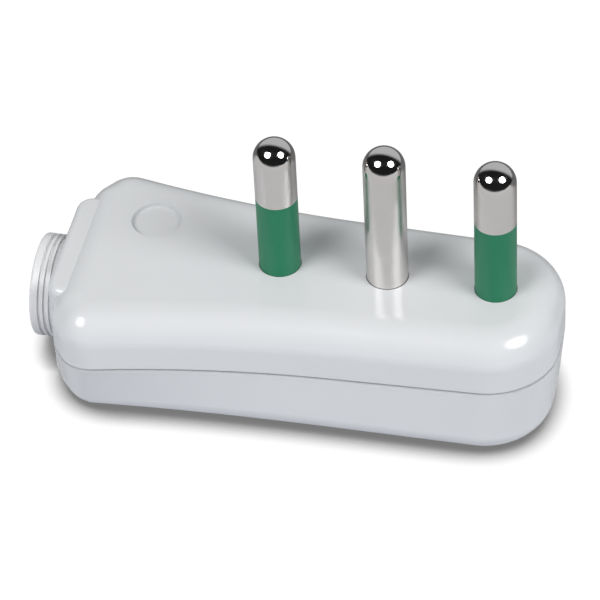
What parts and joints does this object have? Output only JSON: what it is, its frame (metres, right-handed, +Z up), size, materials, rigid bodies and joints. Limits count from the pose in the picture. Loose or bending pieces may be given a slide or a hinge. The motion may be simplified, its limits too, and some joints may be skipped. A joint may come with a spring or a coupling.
{
  "type": "flat electric plug",
  "caption": "Flat mains plug: round pins in a row on the broad face of a flared glossy housing split along its rim, with a ribbed round cable inlet at one short end.",
  "frame": {"origin": "on the flat back, where the middle (earth) pin's axis meets it; the back lies in z = 0", "axes": "+X along the plug, away from the cable inlet; +Z up out of the back, with the pins leaning 2.33 degrees towards the inlet; +Y across, towards the side with the round recess"},
  "size_m": [0.0641, 0.029, 0.0369],
  "materials": {
    "shell_white": "glossy moulded white plastic, very slightly cool",
    "bush_white": "satin moulded white plastic",
    "clamp_grey": "matt moulded plastic",
    "pin_nickel": "bright nickel plating on turned brass",
    "sleeve_green": "satin green insulating plastic",
    "terminal_brass": "plain machined brass",
    "screw_steel": "zinc-plated steel"
  },
  "bodies": {
    "root": {"face_shell": "shell_white", "back_cover": "shell_white", "cable_bush": "bush_white", "cord_clamp_bar": "clamp_grey", "line_pin_sleeve": "sleeve_green", "neutral_pin_sleeve": "sleeve_green", "line_pin": "pin_nickel", "line_terminal": "terminal_brass", "line_terminal_screw": "screw_steel", "earth_pin": "pin_nickel", "earth_terminal": "terminal_brass", "earth_terminal_screw": "screw_steel", "neutral_pin": "pin_nickel", "neutral_terminal": "terminal_brass", "neutral_terminal_screw": "screw_steel", "pin_end_cover_screw": "screw_steel", "pin_end_insert": "terminal_brass", "cable_end_cover_screw": "screw_steel", "cable_end_insert": "terminal_brass", "front_clamp_screw": "screw_steel", "rear_clamp_screw": "screw_steel"}
  },
  "joints": []
}
